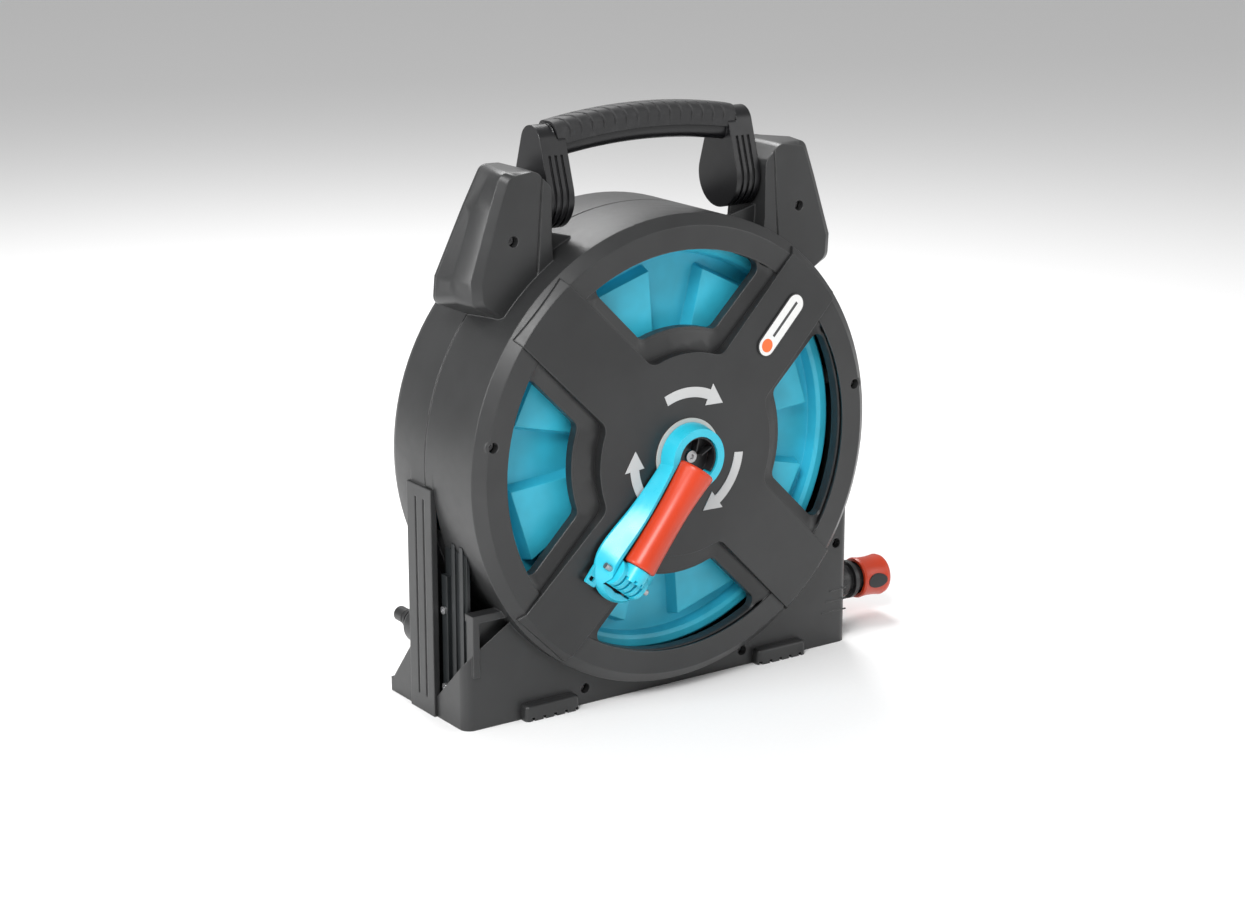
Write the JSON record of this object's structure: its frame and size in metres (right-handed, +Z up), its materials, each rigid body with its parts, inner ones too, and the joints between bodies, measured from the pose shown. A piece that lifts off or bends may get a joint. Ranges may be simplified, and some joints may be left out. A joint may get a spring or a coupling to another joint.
{
  "type": "garden hose reel",
  "caption": "Upright portable garden hose reel: round two-shell case with windows, folding crank, carry handle, wound hose and outlet connector.",
  "frame": {"origin": "on the floor, under the middle of the case's depth, straight below the drum's axis", "axes": "+X towards the hose outlet, +Y towards the back of the case, +Z up; the crank is on the -Y side"},
  "size_m": [0.4661, 0.2305, 0.481],
  "materials": {
    "case_plastic": "fine textured anthracite moulding",
    "cover_plastic": "fine textured anthracite moulding, slightly smoother",
    "panel_plastic": "black moulding",
    "handle_plastic": "black textured moulding",
    "grip_rubber": "soft ribbed overmoulding",
    "drum_plastic": "turquoise satin moulding",
    "crank_plastic": "bright cyan satin moulding",
    "grip_orange": "orange satin moulding",
    "arrow_grey": "pale grey inlay",
    "label_white": "blank pale badge",
    "wear_ring": "pale acetal",
    "steel": "zinc plated",
    "bush_plastic": "natural acetal",
    "hose_grey": "grey hose with turquoise stripes",
    "connector_black": "black moulding",
    "connector_orange": "orange satin moulding",
    "seal_rubber": "black sealing rings",
    "pipe_grey": "grey pipe"
  },
  "bodies": {
    "housing": {"front_shell": "case_plastic", "rear_shell": "case_plastic", "front_cover": "cover_plastic", "direction_arrows": "arrow_grey", "label_plate": "label_white", "case_screws": "steel", "side_panel": "panel_plastic", "panel_screws": "steel", "foot_pads": "case_plastic", "handle_pivots": "steel", "front_bush": "bush_plastic", "rear_bush": "bush_plastic", "hub_collar": "wear_ring", "swivel_elbow": "connector_black", "swivel_seals": "seal_rubber", "supply_pipe": "pipe_grey", "inlet_socket": "connector_black", "inlet_nipple": "connector_black", "inlet_seal": "seal_rubber", "pipe_cover": "case_plastic", "cover_screws": "steel", "outlet_guide": "connector_black", "lead_hose": "hose_grey", "hose_nut": "connector_black", "connector_body": "connector_black", "connector_seal": "seal_rubber"},
    "handle": {"handle_frame": "handle_plastic", "handle_grip": "grip_rubber"},
    "drum": {"front_flange": "drum_plastic", "rear_flange": "drum_plastic", "drum_core": "drum_plastic", "drum_screws": "steel", "drum_axle": "bush_plastic", "drum_feed": "pipe_grey", "wound_hose": "hose_grey", "crank_arm": "crank_plastic", "crank_screw": "steel", "hub_cup": "connector_black", "hinge_pin": "steel"},
    "grip_arm": {"grip_spindle": "crank_plastic", "grip_retainer": "steel"},
    "turning_grip": {"grip_sleeve": "grip_orange"},
    "release_collar": {"connector_collar": "connector_orange", "collar_pads": "grip_rubber"}
  },
  "joints": [
    {"name": "drum_spin", "type": "hinge", "parent": "housing", "child": "drum", "pos_m": [0, 0, 0.205], "axis": [0, 1, 0], "continuous": true},
    {"name": "grip_fold", "type": "hinge", "parent": "drum", "child": "grip_arm", "pos_m": [-0.06849, -0.0888, 0.11638], "axis": [0.7912, 0, -0.6115], "range_deg": [0, 90]},
    {"name": "grip_spin", "type": "hinge", "parent": "grip_arm", "child": "turning_grip", "pos_m": [-0.03302, -0.096, 0.16227], "axis": [0.6115, 0, 0.7912], "continuous": true},
    {"name": "handle_fold", "type": "hinge", "parent": "housing", "child": "handle", "pos_m": [0, -0.007, 0.415], "axis": [-1, 0, 0], "range_deg": [0, 80]},
    {"name": "collar_slide", "type": "slide", "parent": "housing", "child": "release_collar", "axis": [-0.999, 0, 0.0437], "range_m": [0, 0.005], "stiffness_N_per_m": 600}
  ]
}
